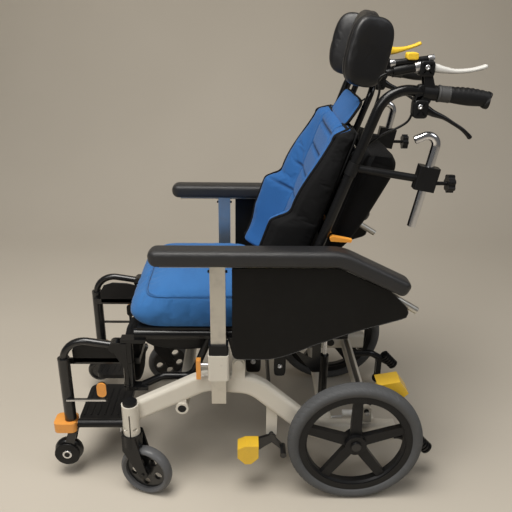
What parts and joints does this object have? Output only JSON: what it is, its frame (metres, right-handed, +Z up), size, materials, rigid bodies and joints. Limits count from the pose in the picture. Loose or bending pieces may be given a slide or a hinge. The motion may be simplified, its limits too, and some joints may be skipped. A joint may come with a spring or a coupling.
{
  "type": "tilt in space wheelchair",
  "caption": "Transport wheelchair with a tilting seat, a reclining padded back with headrest, padded armrests and side panels, elevating leg rests with footplates, and push handles with levers.",
  "frame": {"origin": "on the floor, under the middle of the overall bounding box", "axes": "X across the chair with the sitter's left at +X, the front toward -Y, Z up"},
  "size_m": [0.5586, 0.946, 1.098],
  "materials": {
    "cream_paint": "satin powder coat",
    "black_paint": "gloss paint",
    "black_plastic": "fine grain",
    "panel_plastic": "smooth",
    "bolt_steel": "zinc plated",
    "chrome": "polished",
    "post_aluminium": "satin anodised",
    "grey_tyre": "fine tread",
    "dark_rubber": "matt",
    "blue_fabric": "woven",
    "black_fabric": "woven",
    "arm_pad_skin": "grained",
    "yellow_plastic": "smooth",
    "orange_plastic": "smooth"
  },
  "bodies": {
    "base": {"base_arches": "cream_paint", "base_cross_tubes": "cream_paint", "frame_caps": "black_plastic", "pivot_bolts": "bolt_steel", "tipping_tubes": "black_paint", "tilt_cylinder": "black_paint"},
    "seat": {"seat_rails": "black_paint", "seat_cross_tubes": "black_paint", "seat_pan": "black_plastic", "seat_cushion": "blue_fabric"},
    "back": {"back_canes": "black_paint", "back_cross_tubes": "black_paint", "back_cover": "black_fabric", "back_pad": "blue_fabric", "grips": "dark_rubber", "handle_clamps": "black_plastic"},
    "park_brake": {"park_brake": "yellow_plastic"},
    "rear_brake": {"rear_brake": "yellow_plastic"},
    "tilt_rod": {"tilt_rod": "chrome"},
    "recline_cylinder": {"recline_cylinder": "black_paint"},
    "recline_rod": {"recline_rod": "chrome"},
    "back_latch": {"back_latch": "orange_plastic"},
    "tilt_lever": {"tilt_lever": "chrome"},
    "recline_lever": {"recline_lever": "yellow_plastic"},
    "headrest_stalk": {"headrest_stalk": "black_paint"},
    "headrest_pad": {"headrest_pad": "black_fabric"},
    "rear_wheel_left": {"rear_tyre_left": "grey_tyre", "rear_rim_left": "black_plastic"},
    "caster_fork_left": {"caster_fork_left": "black_paint"},
    "caster_wheel_left": {"caster_wheel_left": "dark_rubber"},
    "tipping_wheel_left": {"tipping_wheel_left": "dark_rubber"},
    "hook_tube_left": {"hook_tube_left": "chrome"},
    "star_knob_left": {"star_knob_left": "black_plastic"},
    "brake_lever_left": {"brake_lever_left": "black_paint"},
    "arm_left": {"arm_frame_left": "post_aluminium", "arm_pad_left": "arm_pad_skin", "side_panel_left": "panel_plastic"},
    "arm_lock_left": {"arm_lock_left": "orange_plastic"},
    "leg_hanger_left": {"leg_hanger_left": "black_paint"},
    "leg_rest_left": {"leg_tube_left": "black_paint", "calf_pad_left": "black_fabric"},
    "footplate_left": {"footplate_left": "black_plastic"},
    "foot_roller_left": {"foot_roller_left": "dark_rubber"},
    "rear_wheel_right": {"rear_tyre_right": "grey_tyre", "rear_rim_right": "black_plastic"},
    "caster_fork_right": {"caster_fork_right": "black_paint"},
    "caster_wheel_right": {"caster_wheel_right": "dark_rubber"},
    "tipping_wheel_right": {"tipping_wheel_right": "dark_rubber"},
    "hook_tube_right": {"hook_tube_right": "chrome"},
    "star_knob_right": {"star_knob_right": "black_plastic"},
    "brake_lever_right": {"brake_lever_right": "black_paint"},
    "arm_right": {"arm_frame_right": "post_aluminium", "arm_pad_right": "arm_pad_skin", "side_panel_right": "panel_plastic"},
    "arm_lock_right": {"arm_lock_right": "orange_plastic"},
    "leg_hanger_right": {"leg_hanger_right": "black_paint"},
    "leg_rest_right": {"leg_tube_right": "black_paint", "calf_pad_right": "black_fabric"},
    "footplate_right": {"footplate_right": "black_plastic"},
    "foot_roller_right": {"foot_roller_right": "dark_rubber"}
  },
  "joints": [
    {"name": "seat_tilt", "type": "hinge", "parent": "base", "child": "seat", "pos_m": [0, -0.015, 0.352], "axis": [-1, 0, 0], "range_deg": [0, 20]},
    {"name": "back_recline", "type": "hinge", "parent": "seat", "child": "back", "pos_m": [0, 0.074, 0.395], "axis": [-1, 0, 0], "range_deg": [-5, 30]},
    {"name": "tilt_rod_slide", "type": "slide", "parent": "base", "child": "tilt_rod", "axis": [0, 0, 1], "range_m": [-0.076, 0.001]},
    {"name": "recline_cylinder_swing", "type": "hinge", "parent": "seat", "child": "recline_cylinder", "pos_m": [-0.09, 0.221, 0.345], "axis": [-1, 0, 0], "range_deg": [-3.5, 18.5]},
    {"name": "recline_rod_slide", "type": "slide", "parent": "recline_cylinder", "child": "recline_rod", "axis": [0, -0.3125, 0.9499], "range_m": [-0.0712, 0.0125]},
    {"name": "park_brake_turn", "type": "hinge", "parent": "base", "child": "park_brake", "pos_m": [0, 0.064, 0.15], "axis": [1, 0, 0], "range_deg": [0, 10]},
    {"name": "rear_brake_turn", "type": "hinge", "parent": "base", "child": "rear_brake", "pos_m": [0, 0.289, 0.215], "axis": [-1, 0, 0], "range_deg": [0, 15]},
    {"name": "back_latch_turn", "type": "hinge", "parent": "back", "child": "back_latch", "pos_m": [0, 0.1816, 0.65081], "axis": [1, 0, 0], "range_deg": [0, 25], "stiffness_Nm_per_rad": 0.6, "springref_deg": -20.05},
    {"name": "tilt_lever_squeeze", "type": "hinge", "parent": "back", "child": "tilt_lever", "pos_m": [0.198, 0.343, 1.002], "axis": [-1, 0, 0], "range_deg": [0, 12], "stiffness_Nm_per_rad": 1.5, "springref_deg": -14.32},
    {"name": "recline_lever_squeeze", "type": "hinge", "parent": "back", "child": "recline_lever", "pos_m": [-0.198, 0.343, 1.002], "axis": [-1, 0, 0], "range_deg": [0, 12], "stiffness_Nm_per_rad": 1.5, "springref_deg": -14.32},
    {"name": "headrest_slide", "type": "slide", "parent": "back", "child": "headrest_stalk", "axis": [0, 0.3305, 0.9438], "range_m": [0, 0.06]},
    {"name": "headrest_tilt", "type": "hinge", "parent": "headrest_stalk", "child": "headrest_pad", "pos_m": [0, 0.293, 0.985], "axis": [1, 0, 0], "range_deg": [-15, 5]},
    {"name": "rear_wheel_spin_left", "type": "hinge", "parent": "base", "child": "rear_wheel_left", "pos_m": [0.256, 0.259, 0.159], "axis": [1, 0, 0], "continuous": true},
    {"name": "caster_swivel_left", "type": "hinge", "parent": "base", "child": "caster_fork_left", "pos_m": [0.232, -0.267, 0.156], "axis": [0, 0, 1], "continuous": true},
    {"name": "caster_spin_left", "type": "hinge", "parent": "caster_fork_left", "child": "caster_wheel_left", "pos_m": [0.24189, -0.23657, 0.065], "axis": [0.9511, -0.309, 0], "continuous": true},
    {"name": "tipping_wheel_spin_left", "type": "hinge", "parent": "base", "child": "tipping_wheel_left", "pos_m": [0.19, 0.409, 0.037], "axis": [1, 0, 0], "continuous": true},
    {"name": "hook_slide_left", "type": "slide", "parent": "back", "child": "hook_tube_left", "axis": [0, 0.1812, 0.9835], "range_m": [-0.035, 0.02]},
    {"name": "star_knob_turn_left", "type": "hinge", "parent": "back", "child": "star_knob_left", "pos_m": [0.198, 0.409, 0.771], "axis": [0, 1, 0], "continuous": true},
    {"name": "brake_lever_squeeze_left", "type": "hinge", "parent": "back", "child": "brake_lever_left", "pos_m": [0.198, 0.337, 0.928], "axis": [1, 0, 0], "range_deg": [0, 15], "stiffness_Nm_per_rad": 1.5, "springref_deg": -14.32},
    {"name": "arm_lift_left", "type": "slide", "parent": "base", "child": "arm_left", "axis": [0, 0, 1], "range_m": [0, 0.06]},
    {"name": "arm_lock_turn_left", "type": "hinge", "parent": "base", "child": "arm_lock_left", "pos_m": [0.238, -0.101, 0.358], "axis": [0, 1, 0], "range_deg": [0, 90]},
    {"name": "leg_swing_left", "type": "hinge", "parent": "seat", "child": "leg_hanger_left", "pos_m": [0.178, -0.274, 0.3], "axis": [0, 0, 1], "range_deg": [0, 50]},
    {"name": "leg_raise_left", "type": "hinge", "parent": "leg_hanger_left", "child": "leg_rest_left", "pos_m": [0.178, -0.303, 0.372], "axis": [-1, 0, 0], "range_deg": [0, 70]},
    {"name": "footplate_flip_left", "type": "hinge", "parent": "leg_rest_left", "child": "footplate_left", "pos_m": [0.178, -0.35, 0.152], "axis": [0, 1, 0], "range_deg": [0, 88]},
    {"name": "foot_roller_spin_left", "type": "hinge", "parent": "leg_rest_left", "child": "foot_roller_left", "pos_m": [0.178, -0.438, 0.073], "axis": [1, 0, 0], "continuous": true},
    {"name": "rear_wheel_spin_right", "type": "hinge", "parent": "base", "child": "rear_wheel_right", "pos_m": [-0.256, 0.259, 0.159], "axis": [1, 0, 0], "continuous": true},
    {"name": "caster_swivel_right", "type": "hinge", "parent": "base", "child": "caster_fork_right", "pos_m": [-0.232, -0.267, 0.156], "axis": [0, 0, 1], "continuous": true},
    {"name": "caster_spin_right", "type": "hinge", "parent": "caster_fork_right", "child": "caster_wheel_right", "pos_m": [-0.24189, -0.23657, 0.065], "axis": [0.9511, 0.309, 0], "continuous": true},
    {"name": "tipping_wheel_spin_right", "type": "hinge", "parent": "base", "child": "tipping_wheel_right", "pos_m": [-0.19, 0.409, 0.037], "axis": [1, 0, 0], "continuous": true},
    {"name": "hook_slide_right", "type": "slide", "parent": "back", "child": "hook_tube_right", "axis": [0, 0.1812, 0.9835], "range_m": [-0.035, 0.02]},
    {"name": "star_knob_turn_right", "type": "hinge", "parent": "back", "child": "star_knob_right", "pos_m": [-0.198, 0.409, 0.771], "axis": [0, 1, 0], "continuous": true},
    {"name": "brake_lever_squeeze_right", "type": "hinge", "parent": "back", "child": "brake_lever_right", "pos_m": [-0.198, 0.337, 0.928], "axis": [1, 0, 0], "range_deg": [0, 15], "stiffness_Nm_per_rad": 1.5, "springref_deg": -14.32},
    {"name": "arm_lift_right", "type": "slide", "parent": "base", "child": "arm_right", "axis": [0, 0, 1], "range_m": [0, 0.06]},
    {"name": "arm_lock_turn_right", "type": "hinge", "parent": "base", "child": "arm_lock_right", "pos_m": [-0.238, -0.101, 0.358], "axis": [0, 1, 0], "range_deg": [0, 90]},
    {"name": "leg_swing_right", "type": "hinge", "parent": "seat", "child": "leg_hanger_right", "pos_m": [-0.178, -0.274, 0.3], "axis": [0, 0, -1], "range_deg": [0, 50]},
    {"name": "leg_raise_right", "type": "hinge", "parent": "leg_hanger_right", "child": "leg_rest_right", "pos_m": [-0.178, -0.303, 0.372], "axis": [-1, 0, 0], "range_deg": [0, 70]},
    {"name": "footplate_flip_right", "type": "hinge", "parent": "leg_rest_right", "child": "footplate_right", "pos_m": [-0.178, -0.35, 0.152], "axis": [0, -1, 0], "range_deg": [0, 88]},
    {"name": "foot_roller_spin_right", "type": "hinge", "parent": "leg_rest_right", "child": "foot_roller_right", "pos_m": [-0.178, -0.438, 0.073], "axis": [1, 0, 0], "continuous": true}
  ],
  "couplings": [
    {"joint": "tilt_rod_slide", "follows": "seat_tilt", "m_per_rad": -0.2157},
    {"joint": "recline_cylinder_swing", "follows": "back_recline", "ratio": 0.6},
    {"joint": "recline_rod_slide", "follows": "back_recline", "m_per_rad": -0.1346},
    {"joint": "rear_brake_turn", "follows": "park_brake_turn", "ratio": 1.5}
  ]
}
